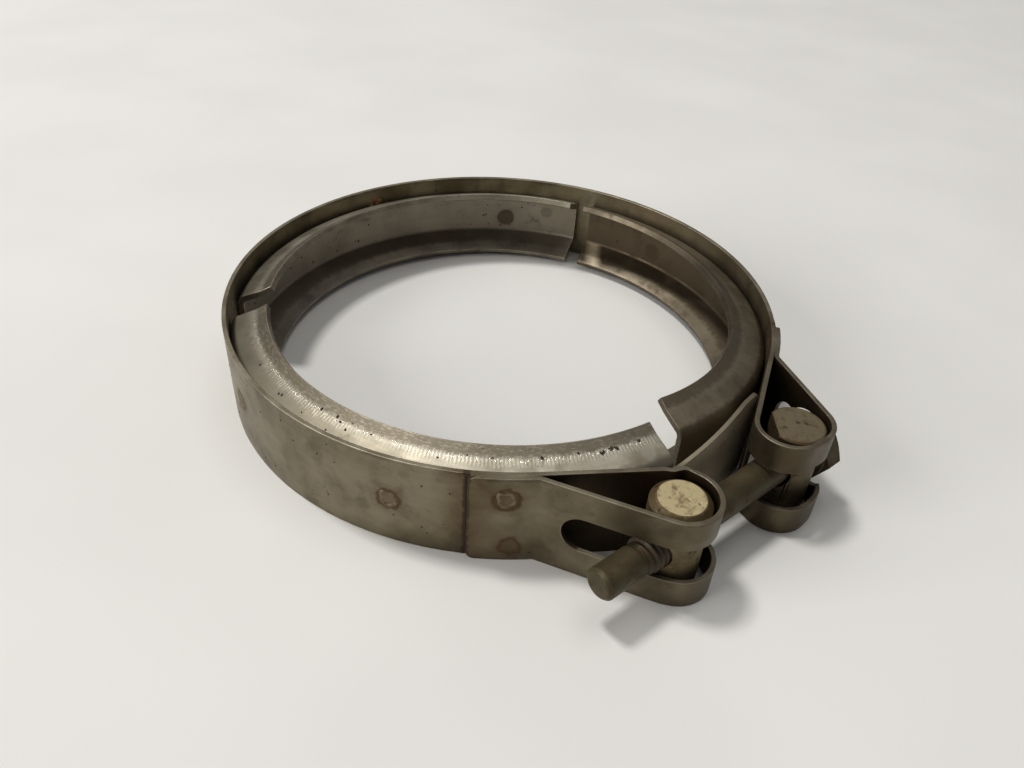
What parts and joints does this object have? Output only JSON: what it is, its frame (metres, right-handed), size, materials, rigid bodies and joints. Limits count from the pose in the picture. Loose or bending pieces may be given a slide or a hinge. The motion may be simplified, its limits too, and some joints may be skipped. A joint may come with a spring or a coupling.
{
  "type": "v band clamp",
  "caption": "Round V-band pipe clamp: slotted sheet strap with looped ends, V-section retainers, cross trunnions and a hex bolt that draws the loops together.",
  "frame": {"origin": "on the ring axis, at the plane where the two clamped flanges meet", "axes": "+Z along the ring axis, closure and bolt at -Y, bolt along X"},
  "size_m": [0.102, 0.1157, 0.017],
  "materials": {
    "strap_sheet": "satin stainless sheet with heat tint and brown spots",
    "retainer_sheet": "satin stainless sheet, polished where the flanges bore",
    "leaf_sheet": "satin stainless sheet with a bright sheared edge",
    "trunnion_near": "pitted cream oxide with brown stain at the chamfer",
    "trunnion_far": "dull grey-brown oxide",
    "bolt_steel": "dull zinc with brown rust"
  },
  "bodies": {
    "clamp": {"strap": "strap_sheet", "retainer_left": "retainer_sheet", "retainer_back": "retainer_sheet", "retainer_right": "retainer_sheet", "gap_leaf": "leaf_sheet", "threaded_trunnion": "trunnion_near", "plain_trunnion": "trunnion_far"},
    "bolt": {"bolt": "bolt_steel"}
  },
  "joints": [
    {"name": "bolt_turn", "type": "hinge", "parent": "clamp", "child": "bolt", "pos_m": [0, -0.0575, 0], "axis": [1, 0, 0], "continuous": true}
  ]
}
